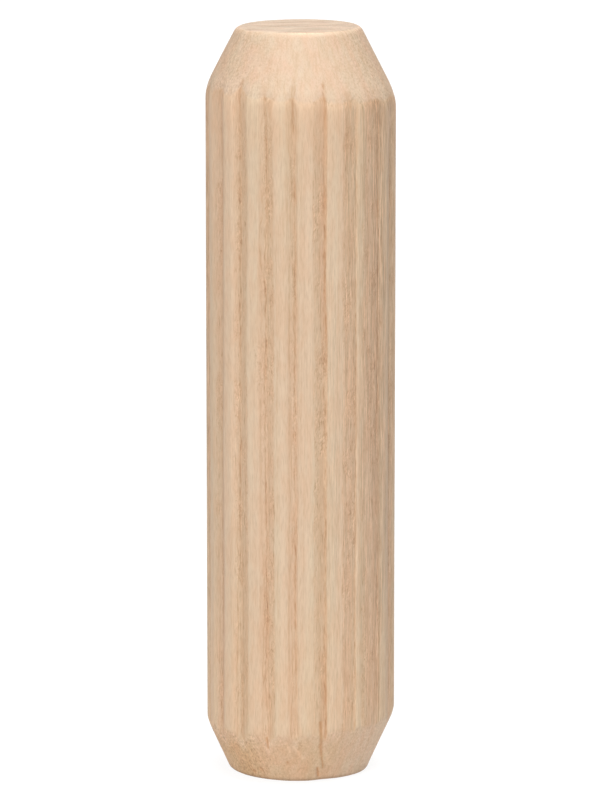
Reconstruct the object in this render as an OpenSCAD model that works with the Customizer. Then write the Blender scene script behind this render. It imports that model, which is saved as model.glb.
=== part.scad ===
// Fluted wooden dowel pin for a glued joint.
//
// The pin stands on its wider end: its axis is +Z and the origin is the middle of the lower end.
// Straight flutes run its whole length, so that glue can spread and trapped air can leave the hole.
// Both ends are chamfered, so that the pin finds its hole. The chamfers run a little out of true
// with the pin's axis, as they do on pins that are chamfered in bulk.
// All sizes are millimetres and all angles are degrees.

/* [Pin] */
// Diameter over the lands, which is the size of the drilled hole
pin_d = 10; // [8:0.1:16]
// Length from end to end
pin_l = 39.8; // [25:0.1:80]

/* [Flutes] */
// Number of flutes round the pin
flute_count = 20; // [16:1:24]
// Depth of a flute, from the lands down to the line where its two flanks meet
flute_depth = 0.25; // [0.1:0.01:0.3]
// Width of the land that is left between two flutes
land_w = 0.72; // [0.4:0.02:0.9]

/* [Upper end] */
// Diameter of the flat upper end, before its edge is rounded
upper_end_d = 6.5; // [5:0.1:7]
// Angle between the upper chamfer and the axis
upper_chamfer_a = 27; // [18:1:40]
// Rounding of the edge between the upper end and its chamfer
upper_edge_r = 0.5; // [0.1:0.05:0.8]
// Rounding of the shoulder between the upper chamfer and the lands
upper_shoulder_r = 1.7; // [0.5:0.1:3]

/* [Lower end] */
// Diameter of the flat lower end, before its edge is rounded
lower_end_d = 7.4; // [5:0.1:7.6]
// Angle between the lower chamfer and the axis
lower_chamfer_a = 24.5; // [18:0.5:40]
// Rounding of the edge between the lower end and its chamfer
lower_edge_r = 0.3; // [0.05:0.05:0.8]
// Rounding of the shoulder between the lower chamfer and the lands
lower_shoulder_r = 0.8; // [0.5:0.1:3]

/* [Workmanship] */
// How far the chamfers' axis lies from the pin's axis, towards -X
chamfer_runout = 0.12; // [0:0.01:0.2]

/* [Hidden] */
$fn = 96;

pin_r = pin_d / 2;
// Angle from one flute to the next, and what a land and a flute take of it on each side
flute_pitch_a = 360 / flute_count;
land_half_a = (land_w / 2) / pin_r * 180 / PI;
flute_half_a = flute_pitch_a / 2 - land_half_a;

// A flute's section, with its middle on +X: the line where its flanks meet, and one land's edge
valley = [pin_r - flute_depth, 0];
land_edge = pin_r * [cos(flute_half_a), sin(flute_half_a)];

// A shoulder's arc turns from the first of these angles to the axis to the last, in short cones
shoulder_a = [12, 5];
shoulder_cones = 3;
// Angle at which that arc passes out through the lands
shoulder_cross_a = 7;
// How far the cutting forms reach past the pin
past = 1;

wood = [0.88, 0.77, 0.65];

// ---- Outlines ----

function unit(v) = v / norm(v);

// Directions from corner i of a closed outline p to its two neighbours
function corner_sides(p, i) =
    let (n = len(p))
    [unit(p[(i + n - 1) % n] - p[i]), unit(p[(i + 1) % n] - p[i])];

// Half of the angle between two directions
function half_angle(sides) = acos(sides[0] * sides[1]) / 2;

// Where an arc of radius r at corner i starts and ends
function arc_ends(p, i, r) =
    let (sides = corner_sides(p, i))
    [for (side = sides) p[i] + side * r / tan(half_angle(sides))];

// Centre of an arc of radius r at corner i
function arc_centre(p, i, r) =
    let (sides = corner_sides(p, i))
    p[i] + unit(sides[0] + sides[1]) * r / sin(half_angle(sides));

// A convex outline with its corner i rounded by a true arc of radius r
module outline_with_arc(p, i, r) {
    polygon([for (k = [0:len(p) - 1]) each (k == i ? arc_ends(p, i, r) : [p[k]])]);
    translate(arc_centre(p, i, r))
        circle(r = r);
}

// ---- Forms that shape the pin ----

// One flute's opening: a wedge whose straight flanks run from the valley out past a land's edge
module flute() {
    flank_end = land_edge + past * unit(land_edge - valley);
    far_x = pin_r + past;
    polygon([valley, [flank_end[0], -flank_end[1]], [far_x, -flank_end[1]],
             [far_x, flank_end[1]], flank_end]);
}

// The fluted rod that the pin is cut from
module fluted_rod() {
    linear_extrude(height = pin_l)
        difference() {
            circle(r = pin_r);
            for (i = [0:flute_count - 1])
                rotate((i + 0.5) * flute_pitch_a)
                    flute();
        }
}

// What the chamfer cutter leaves, with the end at z = 0: a cone whose small end has a round edge
module chamfer_form(end_d, chamfer_a, edge_r) {
    end_r = end_d / 2;
    far_r = pin_r + past;
    rotate_extrude()
        outline_with_arc(
            [[0, 0], [end_r, 0], [far_r, (far_r - end_r) / tan(chamfer_a)],
             [far_r, pin_l + past], [0, pin_l + past]],
            1, edge_r);
}

// What rubs off the shoulder, with the end at z = 0: an arc that bulges just through the lands
module shoulder_form(end_d, chamfer_a, shoulder_r) {
    rim_z = (pin_r - end_d / 2) / tan(chamfer_a);
    // The arc sits high enough to soften the side where the chamfer bites deepest
    bulge_z = rim_z + chamfer_runout / tan(chamfer_a) + shoulder_r * sin(shoulder_cross_a);
    bulge_r = pin_r + shoulder_r * (1 - cos(shoulder_cross_a));
    arc = [for (k = [0:shoulder_cones])
        let (a = shoulder_a[0] + (shoulder_a[1] - shoulder_a[0]) * k / shoulder_cones)
        [bulge_r - shoulder_r * (1 - cos(a)), bulge_z - shoulder_r * sin(a)]];
    start = arc[0];
    end = arc[shoulder_cones];
    foot = [start[0] - start[1] * tan(shoulder_a[0]), 0];
    far = [end[0] + past, end[1] + past / tan(shoulder_a[1])];
    rotate_extrude()
        polygon(concat([[0, 0], foot], arc, [far, [far[0], pin_l + far[1]], [0, pin_l + far[1]]]));
}

// Both forms of one end
module end_form(end_d, chamfer_a, edge_r, shoulder_r) {
    intersection() {
        translate([-chamfer_runout, 0, 0])
            chamfer_form(end_d, chamfer_a, edge_r);
        shoulder_form(end_d, chamfer_a, shoulder_r);
    }
}

// ---- The pin ----

module dowel_pin() {
    color(wood)
        intersection() {
            fluted_rod();
            end_form(lower_end_d, lower_chamfer_a, lower_edge_r, lower_shoulder_r);
            translate([0, 0, pin_l])
                mirror([0, 0, 1])
                    end_form(upper_end_d, upper_chamfer_a, upper_edge_r, upper_shoulder_r);
        }
}

dowel_pin();
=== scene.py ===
# %% [markdown]
# # A fluted dowel pin
#
# The object is a short round stick of pale beech that joins two boards: half of it is glued into
# a hole in each of them. Straight flutes let the glue spread and the trapped air escape, and a
# chamfer at each end helps the pin to find its hole.
#
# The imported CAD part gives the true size, place and form. This lesson replaces its plain solid
# by one finely divided surface of the same form, which also carries what a fingertip would feel:
# fibres, cutter marks, a small crack, and the ragged ends of the flutes.

import math

import bpy
import numpy as np
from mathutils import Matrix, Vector


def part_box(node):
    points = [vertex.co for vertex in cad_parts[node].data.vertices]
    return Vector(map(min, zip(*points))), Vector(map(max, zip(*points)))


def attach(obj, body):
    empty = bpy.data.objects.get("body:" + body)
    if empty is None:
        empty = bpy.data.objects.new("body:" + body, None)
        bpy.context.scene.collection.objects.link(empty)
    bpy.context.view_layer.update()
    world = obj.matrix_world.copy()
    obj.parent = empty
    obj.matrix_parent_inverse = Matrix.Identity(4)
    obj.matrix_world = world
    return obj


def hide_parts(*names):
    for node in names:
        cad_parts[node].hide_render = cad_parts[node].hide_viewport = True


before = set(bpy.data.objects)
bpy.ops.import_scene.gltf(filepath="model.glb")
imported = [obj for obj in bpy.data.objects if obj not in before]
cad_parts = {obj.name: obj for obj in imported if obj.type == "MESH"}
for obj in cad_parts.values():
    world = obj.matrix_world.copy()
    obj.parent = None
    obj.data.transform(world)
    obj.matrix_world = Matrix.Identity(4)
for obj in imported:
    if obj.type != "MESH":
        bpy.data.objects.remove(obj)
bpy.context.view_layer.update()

# %% [markdown]
# ## Sizes
#
# The overall sizes are read from the frame, so the surface can't drift away from the solid.
# The rest are the sizes that a turner would write on a card beside the machine. All lengths in
# this file are metres, and `MM` turns a number of millimetres into metres.
#
# A chamfer's angle is measured from the pin's axis. A shoulder's size is the difference of two
# radii inside which the corner between the chamfer and the rod is rounded.

# %% Sizes
MM = 0.001
low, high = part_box("dowel_pin")
PIN_R = min(-low.x, high.x, -low.y, high.y)
PIN_L = high.z - low.z

FLUTES = 20
FLUTE_DEPTH = 0.25 * MM
LAND_W = 0.50 * MM
# The long edges of a land are rounded over this width.
LAND_ROUND_W = 0.14 * MM

UPPER_END_R = 3.25 * MM
UPPER_CHAMFER_A = np.radians(27)
UPPER_EDGE_R = 0.5 * MM
UPPER_SHOULDER = 0.32 * MM

LOWER_END_R = 3.70 * MM
LOWER_CHAMFER_A = np.radians(24.5)
LOWER_EDGE_R = 0.22 * MM
LOWER_SHOULDER = 0.14 * MM

# The axis of the chamfers lies this far beside the pin's.
CHAMFER_RUNOUT = 0.12 * MM
print(f"pin {2 * PIN_R / MM:.2f} x {PIN_L / MM:.2f} mm")

# %% [markdown]
# ## Where the flutes are
#
# On a real pin the flutes are pressed or cut by a row of teeth, and the wood gives way a little
# more here and a little less there. So the flutes are nearly, but not quite, evenly spaced,
# straight, and of one depth. They could be copies of one flute, but then the pin would look
# like plastic. The side that is seen first is given in short lists, and a seeded draw gives the
# rest.
#
# A place on the skin is called by its turn, in degrees to the right of the line on the pin that
# faces the camera, and by its height above the lower end.

# %% Places on the skin
VIEW_AZIMUTH = np.radians(-6.5)


def on_skin(turn):
    """The angle from +X of a place that lies `turn` degrees to the right of the facing line,
    which itself is a quarter turn before +X, moved by the view's azimuth."""
    return np.radians(turn) - np.pi / 2 + VIEW_AZIMUTH


print("the facing line is at", np.degrees(on_skin(0.0)).round(1), "degrees from +X")

# %% Flutes of the side that is seen first
FRONT_FLUTES = slice(9, 20)
# From left to right. A turn holds at half height. A lean is how many degrees further right the
# foot of a flute lies than its head. A depth is a share of FLUTE_DEPTH.
FRONT_TURNS = [-98.0, -79.0, -59.0, -41.5, -22.4, -3.8, 14.8, 35.3, 54.7, 74.5, 95.0]
FRONT_LEANS = [-3.0, 0.0, 0.8, 0.2, 1.1, 1.8, 0.8, -0.4, -0.3, 0.0, 3.0]
FRONT_DEPTHS = [1.0, 1.0, 0.85, 1.0, 0.95, 0.72, 0.85, 0.34, 0.34, 0.8, 1.0]
# For the land at the right of each flute: how many degrees it lies to the right of the middle
# between its two flutes, and its width in millimetres.
FRONT_LANDS = [0.0, -1.5, 0.05, 1.8, 0.9, -2.4, -4.2, -7.15, -2.65, 0.0, 0.0]
FRONT_LAND_WIDTHS = [0.50, 0.45, 0.62, 0.56, 0.58, 0.74, 0.78, 0.26, 0.40, 0.45, 0.50]
print("flutes set by hand:", len(FRONT_TURNS))

# %% Seeded errors of the others
# The spreads are in degrees for places and leans, and shares for depths and widths.
PLACE_SPREAD = 0.7
LEAN_SPREAD = 0.5
DEPTH_SPREAD = 0.06
LAND_PLACE_SPREAD = 0.9
LAND_NARROWEST = 0.8
LAND_WIDEST = 1.2

rng = np.random.default_rng(11)
back_flutes = FLUTES - len(FRONT_TURNS)
back_turns = np.linspace(FRONT_TURNS[-1], FRONT_TURNS[0] + 360, back_flutes + 2)[1:-1]
flute_a = on_skin(np.append(back_turns, np.array(FRONT_TURNS) + 360))
flute_a += np.radians(rng.normal(0.0, PLACE_SPREAD, FLUTES))
flute_lean_a = np.radians(rng.normal(0.0, LEAN_SPREAD, FLUTES))
flute_gain = 1.0 + rng.normal(0.0, DEPTH_SPREAD, FLUTES)
land_shift_a = np.radians(rng.normal(0.0, LAND_PLACE_SPREAD, FLUTES))
land_half_a = rng.uniform(LAND_NARROWEST, LAND_WIDEST, FLUTES) * LAND_W / 2 / PIN_R
flute_a[FRONT_FLUTES] = on_skin(np.array(FRONT_TURNS)) + 2 * np.pi
flute_lean_a[FRONT_FLUTES] = np.radians(FRONT_LEANS)
flute_gain[FRONT_FLUTES] = FRONT_DEPTHS
land_shift_a[FRONT_FLUTES] = np.radians(FRONT_LANDS)
land_half_a[FRONT_FLUTES] = np.array(FRONT_LAND_WIDTHS) * MM / 2 / PIN_R
print("flute angles:", np.degrees(flute_a).round(1))

# %% [markdown]
# ## Rows
#
# The surface is a grid that is wrapped round the pin. Its rows go from the middle of the lower
# end, out over the edge, up the side and in to the middle of the upper end. A turned profile
# could be spun instead, but a spun surface can't hold flutes that lean. The rows stand closer
# together at both ends, where the cutter has left most of the small detail.

# %% Rows
def rounded_end(end_r, chamfer_a, edge_r, disc_rows, arc_rows):
    """Rows of one end as (cone radius, height above the end): rings across the flat, then the
    arc that turns from the flat into the chamfer. The arc touches both lines, so it begins
    edge_r * tan(half the turn) before their corner."""
    turn = np.pi / 2 - chamfer_a
    flat_r = end_r - edge_r * np.tan(turn / 2)
    disc = np.linspace(0.0, 1.0, disc_rows + 1)[1:] * flat_r
    t = np.linspace(0.0, turn, arc_rows + 1)[1:]
    cone_r = np.concatenate([disc, flat_r + edge_r * np.sin(t)])
    height = np.concatenate([np.zeros(disc_rows), edge_r * (1 - np.cos(t))])
    return cone_r, height


DISC_ROWS = 9
LOWER_ARC_ROWS = 5
UPPER_ARC_ROWS = 8
low_r, low_h = rounded_end(LOWER_END_R, LOWER_CHAMFER_A, LOWER_EDGE_R, DISC_ROWS, LOWER_ARC_ROWS)
up_r, up_h = rounded_end(UPPER_END_R, UPPER_CHAMFER_A, UPPER_EDGE_R, DISC_ROWS, UPPER_ARC_ROWS)
LOWER_FINE_TOP = 3.6 * MM
UPPER_FINE_FOOT = PIN_L - 4.2 * MM
FINE_ROWS = 42
MIDDLE_ROWS = 56
side_z = np.concatenate([
    np.linspace(low_h[-1], LOWER_FINE_TOP, FINE_ROWS)[1:],
    np.linspace(LOWER_FINE_TOP, UPPER_FINE_FOOT, MIDDLE_ROWS)[1:],
    np.linspace(UPPER_FINE_FOOT, PIN_L - up_h[-1], FINE_ROWS)[1:-1],
])
row_z = np.concatenate([low_h, side_z, PIN_L - up_h[::-1]])
ROWS = len(row_z)
lower_rows = slice(0, len(low_r))
upper_rows = slice(ROWS - len(up_r), ROWS)
print("rows:", ROWS)

# %% [markdown]
# ## Columns
#
# The columns run along the pin. Equal angles between them would be simpler, but a valley that
# leans would cross them in small steps. So one column lies exactly in each valley, which leans
# and wanders a little on its way up, and its neighbours go with it. They stand closer together
# over the flanks of a flute than over a land.

# %% A seeded line that wanders
def wander(seed, count, step):
    """For each of `count` flutes, a smooth random line over the rows, between -1 and 1: seeded
    draws every `step` of height, joined by an S-shaped step."""
    draws = np.random.default_rng(seed).uniform(-1.0, 1.0, (int(PIN_L / step) + 2, count))
    at = row_z / step
    below = np.floor(at).astype(int)
    t = (at - below)[:, None]
    ease = t * t * (3 - 2 * t)
    return draws[below] * (1 - ease) + draws[below + 1] * ease


# %% Valleys, flanks and lands in every row
VALLEY_WANDER_A = np.radians(0.45)
LAND_WANDER_A = np.radians(0.55)

valley_a = (flute_a + flute_lean_a * (0.5 - row_z / PIN_L)[:, None]
            + VALLEY_WANDER_A * wander(3, FLUTES, 3.4 * MM))
after = np.roll(valley_a, -1, axis=1)
after[:, -1] += 2 * np.pi
right_land_a = ((valley_a + after) / 2 + land_shift_a
                + LAND_WANDER_A * wander(8, FLUTES, 4.3 * MM))
left_land_a = np.roll(right_land_a, 1, axis=1)
left_land_a[:, 0] -= 2 * np.pi
right_half_a = np.broadcast_to(land_half_a, valley_a.shape)
left_half_a = np.roll(right_half_a, 1, axis=1)
left_flank_a = valley_a - left_land_a - left_half_a
right_flank_a = right_land_a - valley_a - right_half_a
narrowest_a = min(left_flank_a.min(), right_flank_a.min())
print("narrowest flank:", np.degrees(narrowest_a).round(2), "degrees")


# %% Columns
def steps(start, end, count):
    """Evenly spaced values from each start towards each end, without the end itself: start,
    plus the way to the end times 0, 1, 2 and so on of `count` parts."""
    share = np.arange(count) / count
    return start[..., None] + (end - start)[..., None] * share


LAND_COLUMNS = 3
FLANK_COLUMNS = 11
off_valley_a = np.concatenate([
    steps(-left_flank_a - left_half_a, -left_flank_a, LAND_COLUMNS),
    steps(-left_flank_a, 0 * valley_a, FLANK_COLUMNS),
    steps(0 * valley_a, right_flank_a, FLANK_COLUMNS),
    steps(right_flank_a, right_flank_a + right_half_a, LAND_COLUMNS),
], axis=2)
flank_a = np.where(off_valley_a < 0, left_flank_a[..., None], right_flank_a[..., None])
COLUMNS = FLUTES * off_valley_a.shape[2]
theta = (valley_a[..., None] + off_valley_a).reshape(ROWS, COLUMNS)
turn = np.degrees(np.mod(theta - on_skin(0.0) + np.pi, 2 * np.pi) - np.pi)
z = np.broadcast_to(row_z[:, None], theta.shape)
print("columns:", COLUMNS, "triangles:", 2 * COLUMNS * ROWS)

# %% [markdown]
# ## The form
#
# Three simple surfaces make the pin: the fluted rod and the two chamfer cones. They could be
# three solids that are cut with each other, but that leaves thin faces along the scallops. On a
# grid it is enough that the smaller radius wins wherever two of them meet, and a smooth minimum
# rounds the shoulder between them as tumbling does. Because the cones run out of true by a tenth
# of a millimetre, the shoulder climbs on one side of the pin and drops on the other, and the
# scallops under it follow.

# %% Soft steps and soft corners
def ramp(value, start, end):
    """0 before start, 1 after end, and an S-shaped step between them."""
    t = np.clip((value - start) / (end - start), 0.0, 1.0)
    return t * t * (3 - 2 * t)


def smooth_min(a, b, width):
    """The smaller of a and b, rounded where they differ by less than width: the corner is
    lowered by a quarter of the square of what is left of width, over width."""
    left = np.maximum(width - np.abs(a - b), 0.0)
    return np.minimum(a, b) - left ** 2 / (4 * width)


# %% Depth of each flute in every row
# The teeth bit a little deeper towards the upper end than at the lower one.
DEPTH_AT_FOOT = 0.82
DEPTH_AT_HEAD = 1.12
DEPTH_WANDER = 0.06
bite = DEPTH_AT_FOOT + (DEPTH_AT_HEAD - DEPTH_AT_FOOT) * row_z[:, None] / PIN_L
uneven = 1 + DEPTH_WANDER * wander(4, FLUTES, 5 * MM)
depth = (FLUTE_DEPTH * flute_gain * bite * uneven)[..., None]
# But they left the wood gently: between GENTLE_FROM and GENTLE_TO below the upper end, the depth
# of each flute shrinks to its own share.
BACK_END_DEPTH = 0.45
FRONT_END_DEPTHS = [0.40, 0.45, 0.50, 0.85, 0.28, 0.58, 0.80, 0.95, 0.50, 0.25, 0.40]
GENTLE_TO = 2.8 * MM
GENTLE_FROM = 6.6 * MM
end_depth = np.full(FLUTES, BACK_END_DEPTH)
end_depth[FRONT_FLUTES] = FRONT_END_DEPTHS
full_bite = ramp(PIN_L - row_z, GENTLE_TO, GENTLE_FROM)
depth = depth * (end_depth + (1 - end_depth) * full_bite[:, None])[..., None]
print(f"flutes: {depth.min() / MM:.3f} to {depth.max() / MM:.3f} mm deep")

# %% The fluted rod
# A flank is a slope from the valley to a corner under the land's edge. A hyperbola in place of
# two straight lines rounds the valley over this share of a flank.
VALLEY_ROUND = 0.20
from_valley = np.hypot(off_valley_a / flank_a, VALLEY_ROUND) - VALLEY_ROUND
flank_share = 1 - from_valley / (np.hypot(1.0, VALLEY_ROUND) - VALLEY_ROUND)
corner_h = depth * (LAND_ROUND_W / 2) / (flank_a * PIN_R)
cut = -smooth_min(-depth * flank_share, 0 * flank_share, corner_h).reshape(ROWS, COLUMNS)
rod_r = PIN_R - cut
print(f"rod radius {rod_r.min() / MM:.3f} to {rod_r.max() / MM:.3f} mm")


# %% The chamfers
def off_centre_r(cone_r, shift):
    """Distance from the pin's axis to a circle of radius cone_r whose centre is shifted towards
    -X, in the direction of each column: the root of the quadratic for a ray and a circle."""
    along = -shift * np.cos(theta)
    across2 = shift ** 2 - along ** 2
    return along + np.sqrt(np.maximum(cone_r ** 2 - across2, 0.0))


lower_cone = LOWER_END_R + row_z * np.tan(LOWER_CHAMFER_A)
lower_cone[lower_rows] = low_r
upper_cone = UPPER_END_R + (PIN_L - row_z) * np.tan(UPPER_CHAMFER_A)
upper_cone[upper_rows] = up_r[::-1]
# The rings of the two flats share the runout, less and less inside this radius.
CENTRED_R = 2 * MM
narrow_cone = np.minimum(lower_cone, upper_cone)
shift = (CHAMFER_RUNOUT * np.minimum(1.0, narrow_cone / CENTRED_R))[:, None]
lower_r = off_centre_r(lower_cone[:, None], shift)
upper_r = off_centre_r(upper_cone[:, None], shift)
radius = smooth_min(smooth_min(rod_r, lower_r, LOWER_SHOULDER), upper_r, UPPER_SHOULDER)
print(f"radius {radius.min() / MM:.3f} to {radius.max() / MM:.3f} mm")

# %% [markdown]
# ## What the fingertip feels
#
# Wood is a bundle of fibres, so its skin is never smooth. A height map that is wrapped round the
# pin could supply this relief, but a seeded noise that fills the whole block of wood does it
# better: the same fibres then run down the flanks, come out on the chamfers as specks and end
# on the flats, as they do when a cutter opens a real stick.

# %% Noise through the wood
def solid_noise(seed, across, along):
    """Smooth random values from 0 to 1 at every point of the skin: seeded draws on a lattice
    through the wood, with cells `across` wide and `along` high, joined by S-shaped steps."""
    at = [(radius * np.cos(theta) + PIN_R) / across, (radius * np.sin(theta) + PIN_R) / across,
          z / along]
    draws = np.random.default_rng(seed).random([int(a.max()) + 2 for a in at])
    below = [np.floor(a).astype(int) for a in at]
    ease = [(a - b) ** 2 * (3 - 2 * (a - b)) for a, b in zip(at, below)]
    value = np.zeros(theta.shape)
    for corner in np.ndindex(2, 2, 2):
        weight = math.prod(e if c else 1 - e for e, c in zip(ease, corner))
        value += weight * draws[tuple(b + c for b, c in zip(below, corner))]
    return value


# %% [markdown]
# ## What lies where
#
# Each kind of skin has its own finish on a real pin: the lands are smooth, the flanks of the
# flutes are pressed, the chamfers are cut across the fibres, and where a flute runs out into a
# chamfer the wood is torn. They could be separate materials on separate faces, but hard borders
# would show between them. Here every point has a number from 0 to 1 for each kind, so that one
# finish runs softly into the next.

# %% Where each surface is
def bell(value, middle, half_w):
    """A bell curve: e to the power of minus the square of how many half_w the value is from
    middle, which is 1 in the middle and about a third at half_w."""
    return np.exp(-((value - middle) / half_w) ** 2)


cone_r = np.minimum(lower_r, upper_r)
on_rod = ramp(cone_r - rod_r, -0.04 * MM, 0.05 * MM)
flank = np.clip(flank_share, 0.0, 1.0).reshape(ROWS, COLUMNS) * on_rod
RUN_OUT_W = 0.09 * MM
run_out = bell(cone_r - rod_r, 0.0, RUN_OUT_W)
at_foot = z < PIN_L / 2
print(f"skin of the rod: {on_rod.mean():.0%}, run-outs: {run_out.mean():.1%}")

# %% [markdown]
# ## Browned valleys
#
# A tooth leans on one flank of a flute more than on the other. There the darker, pressed wood
# begins right under the land's edge, and on the other flank it fades in towards the valley. On
# the side that is seen first, the darker flank is the one turned away from the light, so its dark
# is painted shade as well as brown. The brown could simply follow the depth of the cut, but then
# all flutes would look alike. So each flute has its own numbers. A press is the share of the
# flank, from the land to the valley, over which the brown and the painted shade come in: a small
# one makes it begin at once, and one above 1 keeps it weak even in the valley. A line is the
# strength of the dark line in the valley.

# %% Presses and lines of each flute
HARD = 0.20
SOFT = 0.95
# On the front the hard flank is the one turned away from the light: its dark is painted shade as
# well as pressed brown.
LEFT_PRESS_AND_SHADE = [SOFT, SOFT, SOFT, SOFT, 1.5, 1.5, HARD, HARD, HARD, HARD, HARD]
RIGHT_PRESS_AND_SHADE = [HARD, HARD, HARD, HARD, 0.36, 1.4, 0.45, 1.4, 1.4, 0.6, SOFT]
FRONT_LINES = [0.6, 0.6, 0.6, 0.80, 0.78, 0.75, 0.75, 0.45, 0.85, 0.9, 0.6]
# How much the right flank of each front flute is browned all over.
RIGHT_FLANKS = [0, 0, 0, 0.20, 0.20, 0, 0.05, 0.10, 0, 0.3, 0]
hard_left = rng.random(FLUTES) < 0.5
left_press_and_shade = np.where(hard_left, HARD, SOFT)
right_press_and_shade = np.where(hard_left, SOFT, HARD)
line_gain = rng.uniform(0.5, 1.0, FLUTES)
left_press_and_shade[FRONT_FLUTES] = LEFT_PRESS_AND_SHADE
right_press_and_shade[FRONT_FLUTES] = RIGHT_PRESS_AND_SHADE
line_gain[FRONT_FLUTES] = FRONT_LINES
flank_brown = np.zeros(FLUTES)
flank_brown[FRONT_FLUTES] = RIGHT_FLANKS
print("flutes pressed hard on the left:", int((left_press_and_shade == HARD).sum()))

# %% Browned valleys, and pressed flanks with painted shade
press_and_shade_end = np.where(off_valley_a < 0, left_press_and_shade[:, None], right_press_and_shade[:, None])
press_and_shade_end = np.broadcast_to(press_and_shade_end, off_valley_a.shape).reshape(ROWS, COLUMNS)
# The teeth start and stop gently, so the browned wood and the lines fade towards the ends.
fade_up = 0.45 + 0.55 * ramp(PIN_L - z, 2.9 * MM, 8.5 * MM)
fade_down = 0.65 + 0.35 * ramp(z, 2.6 * MM, 4.6 * MM)
fade = fade_up * fade_down * on_rod
line_fade = 0.40 + 0.60 * ramp(PIN_L - z, 3 * MM, 10 * MM)
share = np.clip(flank_share, -0.5, 1.0).reshape(ROWS, COLUMNS)
from_line = (off_valley_a * PIN_R / MM).reshape(ROWS, COLUMNS)
line_amount = np.broadcast_to(line_gain[:, None], off_valley_a.shape).reshape(ROWS, COLUMNS)
line_amount = line_amount * on_rod * ramp(share, 0.1, 0.4) * line_fade
brown_flank = np.broadcast_to((off_valley_a > 0) * flank_brown[:, None], off_valley_a.shape)
brown_flank = brown_flank.reshape(ROWS, COLUMNS) * ramp(share, 0.0, 0.35) * on_rod
near_line = np.abs(from_line) < 0.1
print(f"flanks: {(share > 0).mean():.0%}, near a valley line: {near_line.mean():.0%}")

# %% [markdown]
# ## Marks set one by one
#
# A few marks make this pin different from its neighbours in the bag: a crack and a nick at the
# lower end, specks, streaks of browner wood, and fibres that were lifted or frayed. Each could
# be modelled by itself, but all of them are strokes along the skin. So one function says how
# near every point is to a stroke, and its result serves the relief and the colour alike.

# %% Strokes
def stroke(turn_from, height_from, turn_to, height_to, half_w):
    """How near each point is to a straight stroke on the skin: 1 on the stroke, falling as a bell
    curve of half-width half_w. Turns are in degrees, heights and half_w in millimetres."""
    across = np.radians(turn) * radius / MM
    start = np.stack([np.radians(turn_from) * radius / MM, np.full_like(z, height_from)])
    end = np.stack([np.radians(turn_to) * radius / MM, np.full_like(z, height_to)])
    here = np.stack([across, z / MM])
    way = end - start
    part = np.clip(((here - start) * way).sum(0) / (way ** 2).sum(0), 0.0, 1.0)
    gap2 = ((here - start - part * way) ** 2).sum(0)
    return np.exp(-gap2 / half_w ** 2)


# %% The crack, the nick and the specks
# A crack opened along a valley at the lower end, and a nick was struck in the lower edge.
crack = np.maximum.reduce([
    stroke(12.3, 3.5, 12.9, 2.6, 0.08),
    stroke(12.9, 2.6, 13.0, 2.1, 0.10),
    stroke(13.0, 2.1, 14.4, 1.6, 0.07),
    stroke(14.4, 1.6, 15.6, 1.2, 0.05),
    stroke(15.6, 1.2, 16.8, 0.8, 0.04),
])
nick = stroke(12.6, 0.8, 14.0, 0.3, 0.06)
specks = np.maximum.reduce([
    stroke(-9.6, 1.2, -9.0, 1.1, 0.06),
    stroke(-31.0, 0.7, -30.0, 0.6, 0.06),
    stroke(-38.5, 0.5, -37.8, 0.35, 0.06),
    stroke(-22.0, 2.6, -21.6, 2.0, 0.05),
    0.5 * stroke(-3.6, 37.2, -4.0, 36.7, 0.05),
    0.4 * stroke(-5.8, 37.1, -5.6, 36.7, 0.04),
])
struck = np.maximum.reduce([crack, nick, specks])
print(f"struck: {(struck > 0.5).mean():.2%} of the points")

# %% Lifted and frayed fibres
# Light fibres that the knife lifted along the lower shoulder, and three pale places higher up.
lifted = np.maximum.reduce([
    stroke(-71.0, 2.5, -61.0, 1.85, 0.07),
    stroke(-66.0, 2.15, -58.0, 1.4, 0.05),
    stroke(-24.7, 2.12, -21.3, 1.72, 0.06),
    stroke(-9.4, 2.34, -7.2, 1.84, 0.06),
    stroke(-4.5, 2.17, 1.5, 1.37, 0.06),
    stroke(16.5, 1.74, 21.9, 1.02, 0.05),
    stroke(19.7, 2.91, 24.3, 2.41, 0.05),
    0.7 * stroke(56.5, 26.0, 58.5, 23.0, 0.22),
    0.5 * stroke(61.0, 19.5, 62.5, 17.0, 0.20),
    0.5 * stroke(54.0, 31.0, 55.0, 29.0, 0.18),
])
# Small places where the teeth tore the fibres up instead of cutting them.
fray = np.maximum.reduce([
    stroke(-20.5, 24.4, -19.8, 23.6, 0.22),
    stroke(-27.5, 23.4, -26.0, 21.5, 0.20),
    stroke(-5.0, 21.0, -3.6, 19.9, 0.22),
    stroke(13.5, 22.8, 16.0, 22.2, 0.22),
    stroke(13.5, 20.4, 15.5, 19.9, 0.22),
    stroke(56.5, 24.2, 58.5, 23.2, 0.25),
    stroke(-22.5, 3.0, -21.0, 2.3, 0.16),
    stroke(-3.5, 3.0, -1.0, 2.3, 0.16),
    stroke(-66.0, 3.2, -64.0, 2.0, 0.25),
    stroke(26.0, 3.3, 26.8, 2.9, 0.12),
])
print(f"lifted: {(lifted > 0.5).mean():.2%}, frayed: {(fray > 0.5).mean():.2%} of the points")

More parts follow.
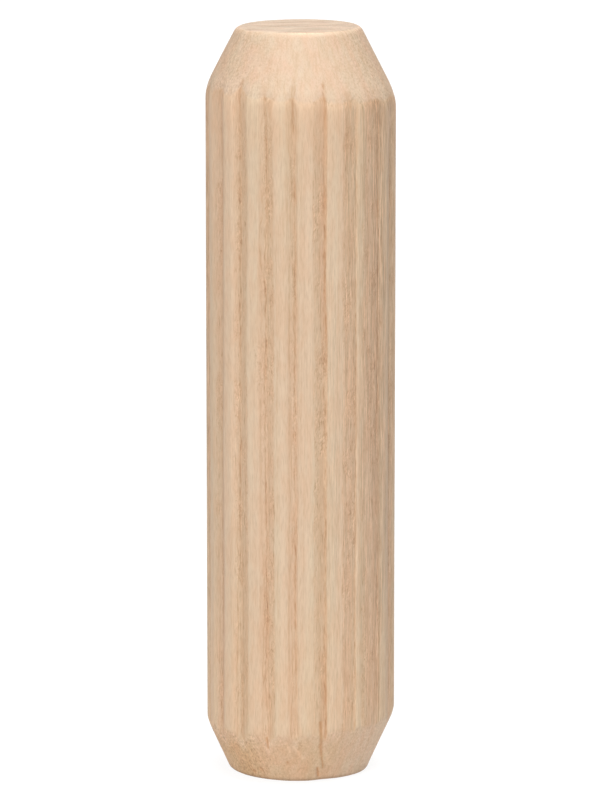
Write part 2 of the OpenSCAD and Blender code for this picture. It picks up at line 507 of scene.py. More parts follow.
# %% Streaks of browner wood
narrow_streaks = [
    0.60 * stroke(-7.2, 4.0, -6.8, 28.0, 0.05),
    0.20 * stroke(-6.8, 28.0, -6.6, 37.0, 0.05),
    0.30 * stroke(-25.6, 6.0, -25.4, 36.0, 0.05),
    0.40 * stroke(15.9, 2.6, 15.9, 6.0, 0.05),
    0.30 * stroke(38.5, 5.0, 38.5, 34.0, 0.06),
    0.35 * stroke(-14.0, 9.0, -14.2, 30.0, 0.05),
    0.35 * stroke(-3.2, 4.5, -3.3, 14.0, 0.05),
]
wide_streaks = [
    0.75 * stroke(-41.4, 36.8, -41.4, 29.0, 0.11),
    0.25 * stroke(-41.4, 29.0, -41.4, 6.0, 0.10),
    0.18 * stroke(16.8, 4.5, 17.0, 17.5, 0.11),
    0.14 * stroke(12.4, 4.5, 12.4, 14.0, 0.20),
    0.17 * stroke(0.8, 5.0, 0.0, 34.0, 0.18),
    0.12 * stroke(-8.6, 6.0, -8.6, 34.0, 0.12),
    0.15 * stroke(38.0, 6.0, 37.6, 37.0, 0.13),
]
# The heads of some valleys are dark, right under the upper chamfer.
valley_heads = [
    0.90 * stroke(-41.3, 37.35, -40.7, 35.6, 0.075),
    0.70 * stroke(-5.2, 37.6, -4.9, 35.0, 0.080),
    0.80 * stroke(14.4, 37.25, 14.8, 34.5, 0.09),
    0.15 * stroke(-22.6, 36.8, -22.4, 36.0, 0.06),
    0.45 * stroke(29.4, 36.6, 29.4, 33.0, 0.26),
]
brown = np.maximum.reduce(narrow_streaks + wide_streaks + valley_heads + [brown_flank])
# One valley's dark line is fainter in its lower part.
line_amount = line_amount * (1 - 0.45 * stroke(14.8, 4.5, 14.8, 12.0, 0.5))
print(f"browner wood: {(brown > 0.1).mean():.1%} of the points")

# %% [markdown]
# ## Broad differences of colour
#
# Each growth ring ends with darker late wood. The right side of this pin shows it in bands
# with wavering borders. The left edge is darkened in the same way, and the left side is darker:
# both are painted shade. A narrow band on the right is dulled too. Besides, the head is warmer
# where the cutter ran hot, the foot is a little warmer too, and the upper ends of the lands are
# rubbed pale. All this could be left to a noise, but a few broad bands make up much of a pin's
# looks, so each of them has its place.

# %% Bands and places
def between(value, start, full, last, end):
    """0 before start, 1 from full to last, and 0 after end: a ramp up times a ramp down."""
    return ramp(value, start, full) * (1 - ramp(value, last, end))


# A band is a strength, then the turns between which it begins and those between which it ends.
BAND_WAVER = 0.6
band_turn = turn + BAND_WAVER * wander(17, 1, 3.1 * MM)
late_wood_and_left_shade = (0.35 * ramp(band_turn, 25.2, 26.8) * (1 - 0.85 * ramp(band_turn, 35.7, 36.9))
             + 0.42 * ramp(band_turn, 37.9, 39.8)
             + 0.48 * ramp(band_turn, 46.5, 52)
             # The band at the left edge is painted shade.
             + 0.60 * between(-turn, 77, 84, 100, 115)
             + 0.16 * between(turn, 16, 18, 23, 25) * (1 - ramp(z, 22 * MM, 30 * MM)))
# Two narrow paler bands lie in it, and it pales towards the back and towards the foot.
late_wood_and_left_shade = late_wood_and_left_shade * (1 - 0.25 * between(turn, 58.5, 60, 64, 66))
late_wood_and_left_shade = late_wood_and_left_shade * (1 - 0.60 * between(turn, 74, 77, 81, 84)) * (1 - ramp(turn, 95, 130))
late_wood_and_left_shade = late_wood_and_left_shade * (0.30 + 0.70 * ramp(z, 2 * MM, 18 * MM)) * on_rod
# The left side is darkened as painted shade, and a narrow band on the right is dulled too.
dull_and_shade = between(-turn, 46, 60, 100, 130) + 0.6 * between(turn, 54, 55.5, 57, 59.5)
dull_and_shade = dull_and_shade * (0.2 + 0.8 * ramp(z, 3 * MM, 16 * MM)) * on_rod
warm_head = ramp(z, 32.5 * MM, 36.5 * MM) * on_rod
warm_foot = 1 - ramp(z, 3 * MM, 14 * MM)
pale_land = (ramp(z, 34.8 * MM, 36.7 * MM) * (1 - ramp(share, 0.0, 0.45))
             * (1 - ramp(cone_r - rod_r, 0.0, -0.5 * MM)))
print(f"late wood: {(late_wood_and_left_shade > 0.2).mean():.0%} of the points")

# %% [markdown]
# ## Relief
#
# Nothing on this skin is deeper than a tenth of a millimetre, apart from the flutes. It could
# all be faked with a bump in the material, but a crack or a torn edge has to keep its shape in
# any light and from any side, so these depths are real. The material's bump is left with what is
# finer than the grid.

# %% Depths of the relief
FIBRE_H = 4.0e-6
STRAND_H = 6.0e-6
fibre_h = (FIBRE_H * solid_noise(21, 0.16 * MM, 1.8 * MM)
           + STRAND_H * solid_noise(22, 0.5 * MM, 7 * MM))
PRESSED_H = 9.0e-6
pressed_h = PRESSED_H * flank * solid_noise(23, 0.22 * MM, 0.9 * MM)
PORE_H = 6.0e-6
PATCH_H = 3.0e-6
sawn_h = (1 - on_rod) * (PORE_H * solid_noise(24, 0.15 * MM, 0.15 * MM)
                         + PATCH_H * solid_noise(25, 0.4 * MM, 0.4 * MM))
# The chamfers' cutter leaves a ring for each turn of the pin, and it chatters.
CUTTER_PITCH = 0.24 * MM
CUTTER_H = 1.2e-6
chatter = 2 * np.pi * z / CUTTER_PITCH + 3 * solid_noise(26, 2 * MM, 2 * MM)
cutter_h = CUTTER_H * (1 - on_rod) * (1 + np.sin(chatter))
# The run-outs are torn in places, at the foot most of all at the left.
torn = run_out * ramp(solid_noise(27, 0.17 * MM, 0.45 * MM), 0.5, 0.85)
torn = torn * np.where(at_foot, 0.35 + 0.65 * ramp(-turn, 35, 60), 0.7)
FOOT_TORN_H = 45e-6
HEAD_TORN_H = 22e-6
torn_h = np.where(at_foot, FOOT_TORN_H, HEAD_TORN_H) * torn
CRACK_H = 36e-6
NICK_H = 70e-6
SPECK_H = 25e-6
FRAY_H = 14e-6
struck_h = CRACK_H * crack * on_rod.clip(0.4) + NICK_H * nick + SPECK_H * specks
frayed_h = FRAY_H * fray * solid_noise(28, 0.09 * MM, 0.12 * MM)
relief = fibre_h + pressed_h + sawn_h + cutter_h + torn_h + struck_h + frayed_h
print(f"relief: mean {relief.mean() * 1e6:.1f}, deepest {relief.max() * 1e6:.0f} micrometres")

# %% [markdown]
# ## Relief goes inwards
#
# The lands keep the true size, so every hollow is sunk along the skin's own normal. The normal
# leans up or down with the rows: it is level on the rod, and upright on the two flats. Blender
# could push the points along their normals itself, but here the depths are already known at
# every point of the grid.
#
# The edge of the lower end, on which the pin has stood and been knocked, is also worn up a
# little on one side, and keeps a fuller corner beside that. The saw went through a little
# askew, so the upper flat is lowest at the left.

# %% The skin
profile_r = radius.mean(axis=1)
rise = np.gradient(row_z)
reach = np.gradient(profile_r)
normal_up = (-reach / np.hypot(rise, reach))[:, None]
normal_out = (rise / np.hypot(rise, reach))[:, None]
WORN_H = 0.040 * MM
edge_share = ramp(radius / (LOWER_END_R - LOWER_EDGE_R), 0.8, 1.0) * (z < 0.6 * MM)
worn_h = WORN_H * edge_share * bell(turn, 20, 10)
RIGHT_CORNER_W = 0.11 * MM
LEFT_CORNER_W = 0.02 * MM
corner_w = RIGHT_CORNER_W * bell(turn, 58, 15) + LEFT_CORNER_W * bell(turn, -52, 20)
corner_w = corner_w * bell(z, 0.12 * MM, 0.22 * MM) * (radius > 3.3 * MM)
SAW_ASKEW_H = 0.035 * MM
to_left = 1 - np.sin(np.radians(turn)) * radius / UPPER_END_R
askew_h = SAW_ASKEW_H * 0.5 * to_left * ramp(z, PIN_L - 2 * MM, PIN_L)
skin_r = radius + corner_w - relief * normal_out
skin_z = z + worn_h - askew_h - relief * normal_up
print(f"skin: radius up to {skin_r.max() / MM:.4f} mm,",
      f"height {skin_z.min() / MM:.4f} to {skin_z.max() / MM:.4f} mm")

# %% [markdown]
# ## From the grid to a mesh
#
# The real stick is solid, so its skin has no gap. The rows wrap round by joining the last column
# to the first, and one point in the middle of each flat closes the grid with a fan. Quads are
# made from whole arrays of point numbers, which is much quicker than a loop over the points.

# %% Into a mesh
def closed_grid(name, x, y, height, foot, head):
    """A mesh from a grid of points that wraps round in its columns, with one point that closes
    the first row and one that closes the last."""
    rows, columns = x.shape
    points = np.empty((rows * columns + 2, 3))
    points[:-2] = np.stack([x, y, height], axis=-1).reshape(-1, 3)
    points[-2] = foot
    points[-1] = head
    at = np.arange(rows * columns).reshape(rows, columns)
    right = np.roll(at, -1, axis=1)
    quads = np.stack([at[:-1], right[:-1], right[1:], at[1:]], axis=-1).reshape(-1, 4)
    foot_at = np.full(columns, rows * columns)
    lower_fan = np.stack([foot_at, right[0], at[0]], axis=-1)
    upper_fan = np.stack([foot_at + 1, at[-1], right[-1]], axis=-1)
    mesh = bpy.data.meshes.new(name)
    mesh.from_pydata(points.tolist(), [], quads.tolist() + lower_fan.tolist() + upper_fan.tolist())
    mesh.shade_smooth()
    mesh.update()
    piece = bpy.data.objects.new(name, mesh)
    bpy.context.scene.collection.objects.link(piece)
    return piece


pin = closed_grid("fluted_pin", skin_r * np.cos(theta), skin_r * np.sin(theta), skin_z,
                  (0, 0, 0), (0, 0, PIN_L - 0.5 * SAW_ASKEW_H))
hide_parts("dowel_pin")
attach(pin, "root")
print("triangles:", sum(len(p.vertices) - 2 for p in pin.data.polygons))

# %% [markdown]
# ## What the material has to know
#
# A material can work out a noise by itself, but not where the flutes, the chamfers and the marks
# are. A painted texture could tell it, but the skin would have to be unwrapped first.
# Here the numbers are stored on the points of the mesh, each kind under a name of its own.
#
# Two of them are for the edges of the ends: a painted highlight runs along the upper one,
# strongest on the side that faces the camera, and painted shade along the one on which the pin
# stands. The lower chamfer faces down and is darker and browner than the rod, most of all at the
# left, and pales towards the rod: browner end grain, and painted shade. A blunt knife left it
# rough, and both chamfers are rougher where the knife met the grain askew.

# %% The two sharp edges
EDGE_LINE_R = 3.08 * MM
EDGE_LINE_W = 0.14 * MM
on_flat = ramp(z, PIN_L - 0.3 * MM, PIN_L - 0.1 * MM)
# The painted highlight on the upper edge is strongest on the side that faces the camera.
highlight_towards_camera = 0.30 * bell(turn, 0, 55) + 0.70 * bell(turn, -2, 24)
edge_highlight = bell(radius, EDGE_LINE_R, EDGE_LINE_W) * on_flat * highlight_towards_camera
# The lower rim, on which the pin stands, is darkened as painted shade.
rim_shade = (1 - ramp(z, 0.06 * MM, 0.26 * MM)) * ramp(radius, 3.2 * MM, 3.5 * MM)
print(f"polished edge: {(edge_highlight > 0.3).sum()} points, soiled rim: {(rim_shade > 0.5).sum()}")

# %% Chamfers: browned, painted in shade at the foot, and rough
front_half = 1 - ramp(np.abs(turn), 95, 165)
# The lower chamfer is browner and darker: brown end grain, and painted shade on a face that looks
# down, strongest at the left.
foot_brown_and_shade = 0.48 + front_half * (0.44 * ramp(-turn, 18, 45) - 0.38 * ramp(turn, 12, 45))
foot_brown_and_shade = foot_brown_and_shade * (1 - ramp(cone_r - rod_r, -0.45 * MM, 0.22 * MM)) * at_foot
askew = np.sin(np.radians(turn)) ** 2 * (1 - 0.45 * ramp(np.abs(turn), 62, 85))
left_side = ramp(-turn, 8, 42) * front_half
foot_rough = 0.40 + 0.70 * left_side + 0.26 * askew
head_rough = 0.06 + 0.98 * askew
rough_end = (1 - on_rod) * np.where(at_foot, foot_rough, head_rough)
print(f"brown of the lower chamfer: up to {foot_brown_and_shade.max():.2f}, roughness: {rough_end.max():.2f}")


# %% What the skin tells the wood's material
def paint(name, values, foot, head):
    """Writes one number per point of the grid, and one for each of its two closing points, as a
    named attribute that the material can read."""
    attribute = pin.data.attributes.new(name, "FLOAT", "POINT")
    attribute.data.foreach_set("value", np.append(values.ravel(), [foot, head]).astype(np.float32))


paint("share", share, 0, 0)
paint("press_and_shade_end", press_and_shade_end, 1, 1)
paint("fade", fade, 0, 0)
paint("from_line", from_line, 1, 1)
paint("line_amount", line_amount, 0, 0)
paint("brown", brown, 0, 0)
paint("late_wood_and_left_shade", late_wood_and_left_shade, 0, 0)
paint("end_grain", 1 - on_rod, 1, 1)
paint("warm_head", warm_head, 0, 0)
paint("warm_foot", warm_foot, 1, 0)
paint("pale_land", pale_land, 0, 0)
paint("brown_and_shaded_foot", foot_brown_and_shade, 1, 0)
paint("rough_end", rough_end, 1, 0.4)
paint("dull_and_shade", dull_and_shade, 0, 0)
paint("lifted", lifted, 0, 0)
paint("sawn", ramp(np.broadcast_to(np.abs(normal_up), z.shape), 0.90, 0.99), 1, 1)
paint("edge", edge_highlight, 0, 0)
paint("rim", rim_shade, 0, 0)
paint("torn", np.maximum(torn, 0.6 * fray), 0, 0)
paint("struck", struck, 0, 0)
print("attributes:", sorted(a.name for a in pin.data.attributes if a.data_type == "FLOAT"))

# %% [markdown]
# ## The wood
#
# Bare beech is pale, warm and dull. Close up its colour is made of layers: broad bands that are
# pinker or greyer, mottles, growth rings, fine streaks and needles of fibre, short dark dashes
# where a vessel or a ray is cut, browner wood with combed-up fibres where the teeth pressed it,
# and specks where the chamfer opens the fibres' ends. One noise with a colour ramp would be
# quicker, but it would give marks of one kind and size. So each layer is a noise of its own in
# the object's own coordinates, measured in millimetres, and each one multiplies the colour of
# the layers below it.

# %% Shader nodes
wood = bpy.data.materials.new("pale_beech")
wood.use_nodes = True
nodes = wood.node_tree.nodes
links = wood.node_tree.links
shader = nodes["Principled BSDF"]


def node(kind, inputs, **settings):
    """Adds a shader node. An input is either a value or the output socket to join to it."""
    made = nodes.new(kind)
    for key, value in settings.items():
        setattr(made, key, value)
    for key, value in inputs.items():
        if isinstance(value, bpy.types.NodeSocket):
            links.new(value, made.inputs[key])
        else:
            made.inputs[key].default_value = value
    return made


def calc(operation, a, b=0.0, c=0.0):
    """One sum with numbers. MULTIPLY_ADD is a times b, plus c."""
    return node("ShaderNodeMath", {0: a, 1: b, 2: c}, operation=operation).outputs[0]


def calc_vector(operation, a, b=(0, 0, 0), c=(0, 0, 0)):
    """The same sum with vectors, for x, y and z apart."""
    return node("ShaderNodeVectorMath", {0: a, 1: b, 2: c}, operation=operation).outputs[0]


def skin(name):
    """The number that the mesh's points carry under this name."""
    return node("ShaderNodeAttribute", {}, attribute_name=name).outputs["Fac"]


def step_up(value, start, end):
    """0 where value is below start, 1 above end, and a smooth step between them."""
    return node("ShaderNodeMapRange", {"Value": value, "From Min": start, "From Max": end},
                interpolation_type="SMOOTHSTEP").outputs[0]


def part_of(amount, value, start, end):
    """The amount, but none of it where value is before start: amount times the smooth step."""
    return calc("MULTIPLY", amount, step_up(value, start, end))


# %% [markdown]
# Fibres are long and thin, so their noise is stretched along the pin. A wave texture could draw
# them too, but it repeats, and noise doesn't. One function makes every kind from the sizes of
# its cells, and an offset of its own keeps each kind apart from the others.
#
# Growth rings lie nearly in planes in so thin a stick, so the whole lattice is turned until one
# of its axes points through the rings.

# %% The lattice of the wood
# The rings' normal points to the left of the facing line, so that they are seen edge-on, dense
# and fine, on the pin's right side.
RING_TURN = -30.0
MM_PER_M = (1000, 1000, 1000)
block = node("ShaderNodeTexCoord", {}).outputs["Object"]
block_mm = calc_vector("MULTIPLY", block, MM_PER_M)
ring_frame = node("ShaderNodeVectorRotate",
                  {"Vector": block_mm, "Angle": -float(on_skin(RING_TURN))},
                  rotation_type="Z_AXIS").outputs[0]


def noise(place, detail, rough, curl=0.0):
    """Noise from 0 to 1 with cells one unit wide: `detail` finer layers, each `rough` times as
    strong as the one before, at a place that is bent by `curl` times another noise."""
    return node("ShaderNodeTexNoise", {"Vector": place, "Scale": 1.0, "Detail": detail,
                                       "Roughness": rough, "Distortion": curl}).outputs["Fac"]


def fibres(through, along_ring, up, detail, rough, offset=0.0, lattice=ring_frame, curl=0.0):
    """Noise with cells of the given sizes in millimetres: through the rings, along a ring, and
    up the pin. The place is divided by those sizes, and moved by the offset."""
    per_cell = (1 / through, 1 / along_ring, 1 / up)
    scaled = calc_vector("MULTIPLY_ADD", lattice, per_cell, (offset, 0, 0))
    return noise(scaled, detail, rough, curl)


def stain(below, amount, colour):
    """Multiplies the colour below by `colour` as far as `amount` says, from 0 to 1."""
    made = node("ShaderNodeMix", {0: amount, 6: below, 7: (*colour, 1.0)},
                data_type="RGBA", blend_type="MULTIPLY")
    return made.outputs[2]


# %% Fibres of every kind
# Three sizes of the cells, then detail, roughness and offset. First come broad differences: in
# hue, in mottles, in sheets along the rings, and in strands.
hue = fibres(0.8, 1.1, 30.0, 1.0, 0.5, 83.0)
mottle = fibres(0.36, 0.45, 1.3, 1.0, 0.5, 211.0)
sheet = fibres(0.30, 3.0, 14.0, 3.0, 0.65, 57.0)
strand = fibres(0.14, 0.30, 7.0, 2.0, 0.6, 31.0)
# Single fibres: fine streaks, long threads, the needles of late wood, and grit.
fine = fibres(0.070, 0.09, 0.60, 2.0, 0.6)
thread = fibres(0.050, 0.075, 8.0, 1.0, 0.6, 43.0)
needle = fibres(0.058, 0.075, 2.2, 1.0, 0.6, 71.0)
grit = fibres(0.055, 0.060, 0.45, 1.0, 0.5, 19.0)
# A vessel that is cut along makes a dash, and a fibre that is cut across makes a speck.
dash = fibres(0.055, 0.08, 0.55, 1.0, 0.5, 11.0)
speck = fibres(0.110, 0.110, 0.150, 2.0, 0.65, 5.0)
# Two slow noises make borders and lines waver.
wiggle = fibres(1.1, 1.1, 1.3, 3.0, 0.65, 131.0)
second_wiggle = fibres(0.9, 0.9, 2.2, 2.0, 0.6, 151.0)
# Fibres that a tooth has combed up lie a little askew, and curl.
COMBED_A = 0.28
combed_frame = node("ShaderNodeVectorRotate", {"Vector": ring_frame, "Angle": COMBED_A},
                    rotation_type="Y_AXIS").outputs[0]
combed = fibres(0.105, 0.115, 0.30, 1.0, 0.5, 173.0, combed_frame, 1.5)

# %% Smears and saw lines
# The chamfers' cutter smears the fibres straight up the slope. Each point's direction from the
# axis, without its distance, makes noise that keeps its lines upright on a cone.
SMEARS_PER_RADIAN = 20
SMEARS_PER_MM = 0.9
outward = calc_vector("NORMALIZE", calc_vector("MULTIPLY", block_mm, (1, 1, 0)))
upward = calc_vector("MULTIPLY", block_mm, (0, 0, SMEARS_PER_MM))
around = calc_vector("MULTIPLY_ADD", outward, (SMEARS_PER_RADIAN, SMEARS_PER_RADIAN, 0), upward)
smear = noise(around, 2.0, 0.65)
# The saw's lines are long in X and a quarter of a millimetre apart in Y.
SAW_LINES_PER_MM = (0.45, 4.2, 1.0)
saw_lines = noise(calc_vector("MULTIPLY", block_mm, SAW_LINES_PER_MM), 2.0, 0.6)
print("layers of noise:", len([n for n in nodes if n.type == "TEX_NOISE"]))

# %% [markdown]
# The layers go from broad to fine. A stain is a colour near white that is multiplied in where
# its noise is strong: one a little under white darkens, and one a little over it lightens. The
# layers could also be mixed with browns and creams, but a stain can't bring in a colour that
# wood doesn't have, and two stains lie over each other as they do in the real thing.

# %% Broad layers
PINKER = (0.728, 0.546, 0.386, 1.0)
GREYER = (0.708, 0.557, 0.394, 1.0)
bare = node("ShaderNodeMix", {0: step_up(hue, 0.35, 0.65), 6: PINKER, 7: GREYER},
            data_type="RGBA").outputs[2]
mottled = stain(bare, step_up(mottle, 0.38, 0.62), (0.998, 0.960, 0.935))
ringed = stain(mottled, step_up(sheet, 0.45, 0.72), (0.980, 0.963, 0.943))
stranded = stain(ringed, step_up(strand, 0.42, 0.72), (0.972, 0.956, 0.940))
# Late wood is stained darker; at the left edge and on the left side this stain is painted shade.
late_and_left_shade = skin("late_wood_and_left_shade")
aged = stain(stain(stranded, late_and_left_shade, (0.910, 0.858, 0.818)), skin("dull_and_shade"), (0.947, 0.934, 0.922))
print("broad layers use", len(nodes), "nodes")

# %% [markdown]
# The fine layers are single fibres. Late wood is full of dark and light needles, grit lies all
# over, and in the flutes the teeth have combed up curls of fibre. A bump alone would show their
# relief too weakly in soft light, so its shading is painted into the colour: the high values of
# one noise are darker, as painted shade, and its low values lighter, as painted highlights. The
# curls get painted shade on one side and painted highlights on the other.

# %% Streaks and needles
end_amount = skin("end_grain")
more_late = calc("MULTIPLY_ADD", late_and_left_shade, 0.45, calc("MULTIPLY_ADD", end_amount, -0.30, 0.55))
more_late = calc("MULTIPLY_ADD", skin("brown_and_shaded_foot"), 0.5, more_late)
streaked = stain(aged, part_of(more_late, fine, 0.35, 0.72), (0.88, 0.855, 0.83))
threads = calc("MULTIPLY_ADD", late_and_left_shade, 0.4, calc("MULTIPLY", more_late, 0.6))
threaded = stain(streaked, part_of(threads, thread, 0.42, 0.66), (0.925, 0.905, 0.885))
needles = calc("POWER", late_and_left_shade, 0.5)
needled = stain(threaded, part_of(needles, needle, 0.47, 0.62), (0.82, 0.815, 0.80))
# The low values of the needles are lightened: painted highlights on the fibres.
needle_highlights = stain(needled, part_of(needles, needle, 0.47, 0.33), (1.20, 1.205, 1.21))
gritty = stain(needle_highlights, step_up(grit, 0.42, 0.72), (0.935, 0.912, 0.895))

# %% Combed fibres and dashes
# The line where pressed wood and its painted shade begin wavers by a few hundredths of a
# millimetre.
wavering = calc("MULTIPLY_ADD", wiggle, 0.6, calc("ADD", skin("share"), -0.3))
pressed_and_shaded = calc("MULTIPLY", step_up(wavering, 0.0, skin("press_and_shade_end")), skin("fade"))
patchy = calc("MULTIPLY_ADD", step_up(second_wiggle, 0.46, 0.62), 0.80, 0.20)
patchy_flute = calc("MULTIPLY", pressed_and_shaded, patchy)
# Combed curls: the high values of the noise are darker and browner, as painted shade, and the low
# values lighter, as painted highlights.
frayed = stain(gritty, part_of(patchy_flute, combed, 0.52, 0.70), (0.82, 0.75, 0.69))
curl_highlights = stain(frayed, part_of(patchy_flute, combed, 0.44, 0.30), (1.16, 1.18, 1.20))
dash_amount = calc("MAXIMUM", calc("MULTIPLY_ADD", pressed_and_shaded, 0.80, 0.20), late_and_left_shade)
dashed = stain(curl_highlights, part_of(dash_amount, dash, 0.60, 0.74), (0.80, 0.74, 0.68))
glinting = stain(dashed, part_of(dash_amount, dash, 0.40, 0.28), (1.10, 1.10, 1.10))
print("with the fine layers:", len(nodes), "nodes")

# %% [markdown]
# Pressed wood is browner. Each valley holds a broken dark line, which is soiled fibres and
# painted shade at the valley's bottom, with a fainter line on either side and light flecks beside
# it, which are painted highlights. They could be thin grooves in the mesh, but they have no depth
# that could be felt. So each line is a place across the flute, measured from the valley, that
# wavers with a noise and is broken up by others.

# %% Where the teeth pressed, with painted shade on the flanks
# Late wood is dark and hard already, so the teeth brown it less, and its flanks get less painted
# shade.
soft_flute = calc("MULTIPLY", pressed_and_shaded, calc("MULTIPLY_ADD", late_and_left_shade, -0.6, 1.0))
browned_and_shaded = calc("MULTIPLY", calc("MULTIPLY_ADD", patchy, 0.4, 0.65), soft_flute)
# Pressed flanks are stained browner, and on the front the flank turned away from the light is
# darker as painted shade.
pressed_and_shaded_wood = stain(glinting, browned_and_shaded, (0.965, 0.898, 0.850))


def browned_line(place, wavering, reach, thin, wide):
    """How near the skin is to a thin line beside the valley, from 0 to 1: the line lies `place`
    millimetres from the valley and wavers by `reach` times a noise; it is sharp inside `thin`
    and has ended at `wide`."""
    from_place = calc("SUBTRACT", skin("from_line"), place)
    off = calc("MULTIPLY_ADD", calc("SUBTRACT", wavering, 0.5), reach, from_place)
    return step_up(calc("ABSOLUTE", off), wide, thin)


first_line = browned_line(0.0, wiggle, 0.34, 0.005, 0.100)
second_line = browned_line(0.13, second_wiggle, 0.50, 0.000, 0.055)
third_line = browned_line(-0.17, second_wiggle, -0.55, 0.000, 0.050)
highlight_line = browned_line(0.080, wiggle, 0.34, 0.005, 0.050)
# The lines fade where the strands are weak, and break off between the dashes.
long_breaks = step_up(calc("ADD", strand, calc("MULTIPLY", fine, 0.5)), 0.56, 0.84)
short_breaks = calc("MULTIPLY_ADD", step_up(dash, 0.38, 0.58), 0.65, 0.35)
line_breaks = calc("MULTIPLY_ADD", calc("MULTIPLY", long_breaks, short_breaks), 0.88, 0.12)
line_strength = skin("line_amount")
valley_line = calc("MULTIPLY", calc("MULTIPLY", line_strength, line_breaks), first_line)
side_strength = part_of(line_strength, sheet, 0.40, 0.62)
side_lines = calc("MULTIPLY", side_strength, calc("MAXIMUM", second_line, third_line))
fleck_highlights = part_of(calc("MULTIPLY", line_strength, highlight_line), dash, 0.44, 0.58)
streaks = calc("MULTIPLY", skin("brown"), calc("MAXIMUM", line_breaks, 0.5))
# The dark valley line is soiled fibres and painted shade at the valley's bottom.
lined = stain(pressed_and_shaded_wood, valley_line, (0.74, 0.61, 0.50))
lined = stain(lined, side_lines, (0.86, 0.77, 0.70))
# The light flecks beside the valley line are painted highlights.
lined = stain(lined, fleck_highlights, (1.15, 1.18, 1.21))
lined = stain(lined, streaks, (0.82, 0.68, 0.56))
warmed = stain(lined, skin("warm_head"), (1.035, 0.988, 0.955))
warmed = stain(warmed, skin("warm_foot"), (1.030, 1.000, 0.970))
rubbed = stain(warmed, skin("pale_land"), (1.045, 1.070, 1.085))
print("with the flutes:", len(nodes), "nodes")

# %% [markdown]
# A chamfer cuts across the fibres, and a flat cuts them off. Their open ends soak up more dirt,
# so the cut wood is browner, with smears up the slope and specks where the knife tore it, and
# the flats carry the lines of the saw. The lower chamfer, which looks down, is darker still:
# browner wood, and painted shade. A second material could cover them, but the same layers of
# stains go on here, each as far as the skin's own numbers say.

# %% Where the cutter opened the fibres
opened = stain(rubbed, end_amount, (0.952, 0.936, 0.950))
# The lower chamfer is stained browner and darker: brown end grain, and painted shade.
foot_browned_and_shaded = stain(opened, skin("brown_and_shaded_foot"), (0.865, 0.745, 0.565))
smeared = stain(foot_browned_and_shaded, part_of(end_amount, smear, 0.50, 0.72), (0.94, 0.91, 0.885))
glossed = stain(smeared, part_of(end_amount, smear, 0.50, 0.30), (1.01, 1.005, 1.03))
rough_amount = skin("rough_end")
specked = stain(glossed, part_of(rough_amount, speck, 0.50, 0.72), (0.77, 0.705, 0.645))
specked = stain(specked, part_of(rough_amount, speck, 0.50, 0.30), (1.18, 1.20, 1.23))
print("with the chamfers:", len(nodes), "nodes")

# %% Saw lines, torn fibres and the edges
sawn = skin("sawn")
sawn_wood = stain(specked, sawn, (0.842, 0.852, 0.858))
sawn_wood = stain(sawn_wood, part_of(sawn, saw_lines, 0.48, 0.68), (0.76, 0.70, 0.65))
sawn_wood = stain(sawn_wood, part_of(sawn, saw_lines, 0.52, 0.34), (1.13, 1.15, 1.17))
torn_amount = skin("torn")
torn_wood = stain(sawn_wood, part_of(torn_amount, speck, 0.52, 0.66), (0.82, 0.74, 0.68))
torn_wood = stain(torn_wood, part_of(torn_amount, speck, 0.48, 0.36), (1.12, 1.12, 1.12))
lifted_wood = stain(torn_wood, part_of(skin("lifted"), speck, 0.30, 0.50), (1.16, 1.18, 1.20))
struck_wood = stain(lifted_wood, skin("struck"), (0.83, 0.67, 0.52))
# A painted highlight along the upper edge, and painted shade along the lower rim.
edge_highlighted = stain(struck_wood, part_of(skin("edge"), speck, 0.25, 0.55), (1.60, 1.66, 1.71))
rim_shaded = stain(edge_highlighted, skin("rim"), (0.64, 0.60, 0.57))
links.new(rim_shaded, shader.inputs["Base Color"])
print("the whole colour:", len(nodes), "nodes")

# %% [markdown]
# Dry wood scatters light, and only the smoother late fibres have a faint sheen, so the roughness
# is high and follows the finest streaks. What is too fine for the mesh becomes a bump. It could
# have a noise of its own, but it takes the noises of the colour, so that what looks dark is
# also low. The bump's distance of one thousandth makes its height a number of millimetres.

# %% Sheen and touch
links.new(calc("MULTIPLY_ADD", fine, 0.16, 0.50), shader.inputs["Roughness"])
shader.inputs["Specular IOR Level"].default_value = 0.4
loose = calc("MAXIMUM", rough_amount, torn_amount)
height = calc("MULTIPLY_ADD", fine, -0.012, calc("MULTIPLY", thread, -0.010))
height = calc("ADD", height, calc("MULTIPLY", calc("MULTIPLY", loose, speck), -0.024))
height = calc("ADD", height, calc("MULTIPLY", calc("MULTIPLY", sawn, saw_lines), -0.023))
bump = node("ShaderNodeBump", {"Height": height, "Distance": 0.001, "Strength": 1.0})
links.new(bump.outputs["Normal"], shader.inputs["Normal"])
pin.data.materials.append(wood)
print("shader nodes:", len(nodes))

# %% [markdown]
# ## The floor, the light and the camera
#
# The pin stands on a sheet of white paper, large enough that its edge is never seen. A bright
# lamp could make it white, but would also bleach the pin. So the paper glows by itself and
# reflects little, which keeps the pin's shadow on it faint.

# %% Floor
FLOOR_HALF = 3.0
PAPER_COLOUR = (0.15, 0.15, 0.15, 1.0)
PAPER_GLOW = 0.90
floor_mesh = bpy.data.meshes.new("floor")
floor_corners = [(-FLOOR_HALF, -FLOOR_HALF, 0), (FLOOR_HALF, -FLOOR_HALF, 0),
                 (FLOOR_HALF, FLOOR_HALF, 0), (-FLOOR_HALF, FLOOR_HALF, 0)]
floor_mesh.from_pydata(floor_corners, [], [(0, 1, 2, 3)])
floor = bpy.data.objects.new("floor", floor_mesh)
bpy.context.scene.collection.objects.link(floor)

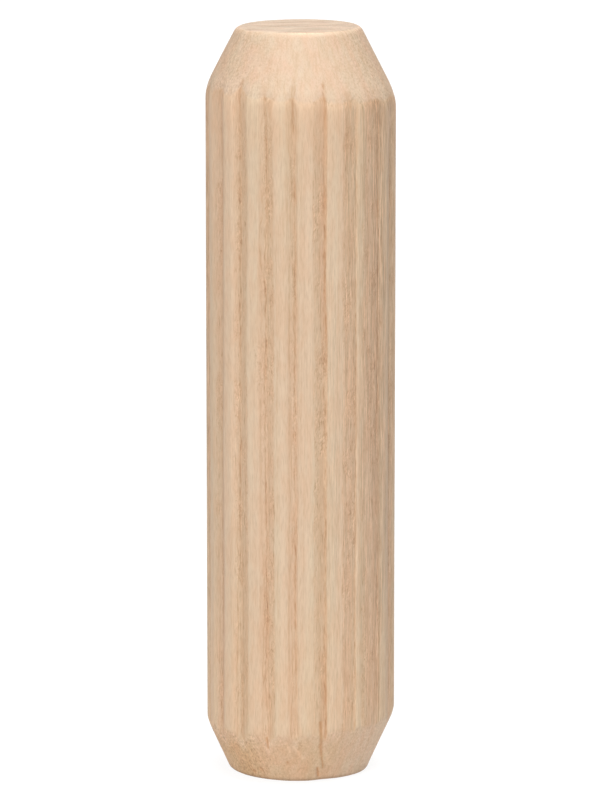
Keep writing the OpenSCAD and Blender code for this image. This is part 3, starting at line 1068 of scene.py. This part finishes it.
paper = bpy.data.materials.new("white_paper")
paper.use_nodes = True
paper_shader = paper.node_tree.nodes["Principled BSDF"]
paper_shader.inputs["Base Color"].default_value = PAPER_COLOUR
paper_shader.inputs["Roughness"].default_value = 1.0
paper_shader.inputs["Specular IOR Level"].default_value = 0.0
paper_shader.inputs["Emission Color"].default_value = (1, 1, 1, 1)
paper_shader.inputs["Emission Strength"].default_value = PAPER_GLOW
floor_mesh.materials.append(paper)
print(f"floor: {2 * FLOOR_HALF:.0f} m wide")

# %% [markdown]
# The camera is a long lens a little above the pin. It could stand much farther away, but from
# here the lower edge looks more curved than the upper one, as it does to the eye. The focal
# length is given in pixels of an image 800 pixels high, because that number is the same for
# every size of sensor.

# %% Camera
scene = bpy.context.scene
IMAGE_H = 800
FOCAL_PIXELS = 5227
camera_data = bpy.data.cameras.new("camera")
camera_data.sensor_width = 36.0
camera_data.lens = FOCAL_PIXELS * camera_data.sensor_width / IMAGE_H
camera_data.clip_start = 0.01
camera = bpy.data.objects.new("camera", camera_data)
scene.collection.objects.link(camera)
scene.camera = camera

VIEW_ELEVATION = np.radians(10.84)
VIEW_DISTANCE = 276.7 * MM
PIN_MIDDLE = Vector((0.0, 0.0, PIN_L / 2))
back = Vector((np.sin(VIEW_AZIMUTH) * np.cos(VIEW_ELEVATION),
               -np.cos(VIEW_AZIMUTH) * np.cos(VIEW_ELEVATION),
               np.sin(VIEW_ELEVATION)))
right_hand = Vector((np.cos(VIEW_AZIMUTH), np.sin(VIEW_AZIMUTH), 0.0))
# The lens aims this far beside and below the pin's middle.
SET_LEFT = 0.040 * MM
SET_DOWN = 0.030 * MM
aim = PIN_MIDDLE - SET_LEFT * right_hand - SET_DOWN * Vector((0, 0, 1))
camera.location = aim + VIEW_DISTANCE * back
camera.rotation_euler = back.to_track_quat("Z", "Y").to_euler()
print("camera at", tuple(round(c, 4) for c in camera.location))

# %% [markdown]
# The light is that of a small studio: one large soft box overhead, a key from the left and above,
# weaker boxes from the right, and a pale panel behind the pin. An evenly bright sky would need
# no lamps, but light from all sides hides the flutes. Wood is dull, but at a glancing angle it
# still mirrors the panel, and this is what makes the flat upper end look pale.

# %% Lights
towards = Vector((math.sin(VIEW_AZIMUTH), -math.cos(VIEW_AZIMUTH), 0.0))


def softbox(name, azimuth, elevation, distance, size, irradiance):
    """A square lamp seen from the pin at an azimuth (from the camera, to its right) and an
    elevation, both in degrees. It gives the stated irradiance on a card at the pin that faces
    it: a lamp of P watts at a distance d gives P / (pi * d squared)."""
    data = bpy.data.lights.new(name, "AREA")
    data.size = size
    data.energy = irradiance * math.pi * distance ** 2
    lamp = bpy.data.objects.new(name, data)
    side, up = math.radians(azimuth), math.radians(elevation)
    sideways = right_hand * (math.sin(side) * math.cos(up))
    forwards = towards * (math.cos(side) * math.cos(up))
    to_lamp = sideways + forwards + Vector((0, 0, math.sin(up)))
    lamp.location = PIN_MIDDLE + distance * to_lamp
    lamp.rotation_euler = to_lamp.to_track_quat("Z", "Y").to_euler()
    scene.collection.objects.link(lamp)


# Name, azimuth, elevation, distance, size and irradiance.
softbox("top_box", 0, 90, 3.0, 1.6, 1.82)
softbox("key_box", -27, 34, 2.5, 1.0, 1.60)
softbox("high_right_box", 70, 72, 2.5, 1.2, 1.60)
softbox("fill_box", 25, 30, 2.5, 1.2, 0.37)
softbox("back_panel", 180, 20, 1.5, 0.9, 0.65)

# %% Studio walls
# The walls are white to the eye but give no light of their own, so that only the soft boxes
# shade the pin.
world = bpy.data.worlds.new("studio")
world.use_nodes = True
backdrop = world.node_tree.nodes["Background"]
backdrop.inputs["Color"].default_value = (1, 1, 1, 1)
seen = world.node_tree.nodes.new("ShaderNodeLightPath").outputs["Is Camera Ray"]
world.node_tree.links.new(seen, backdrop.inputs["Strength"])
scene.world = world
scene.view_settings.view_transform = "Standard"
print("world:", scene.world.name)
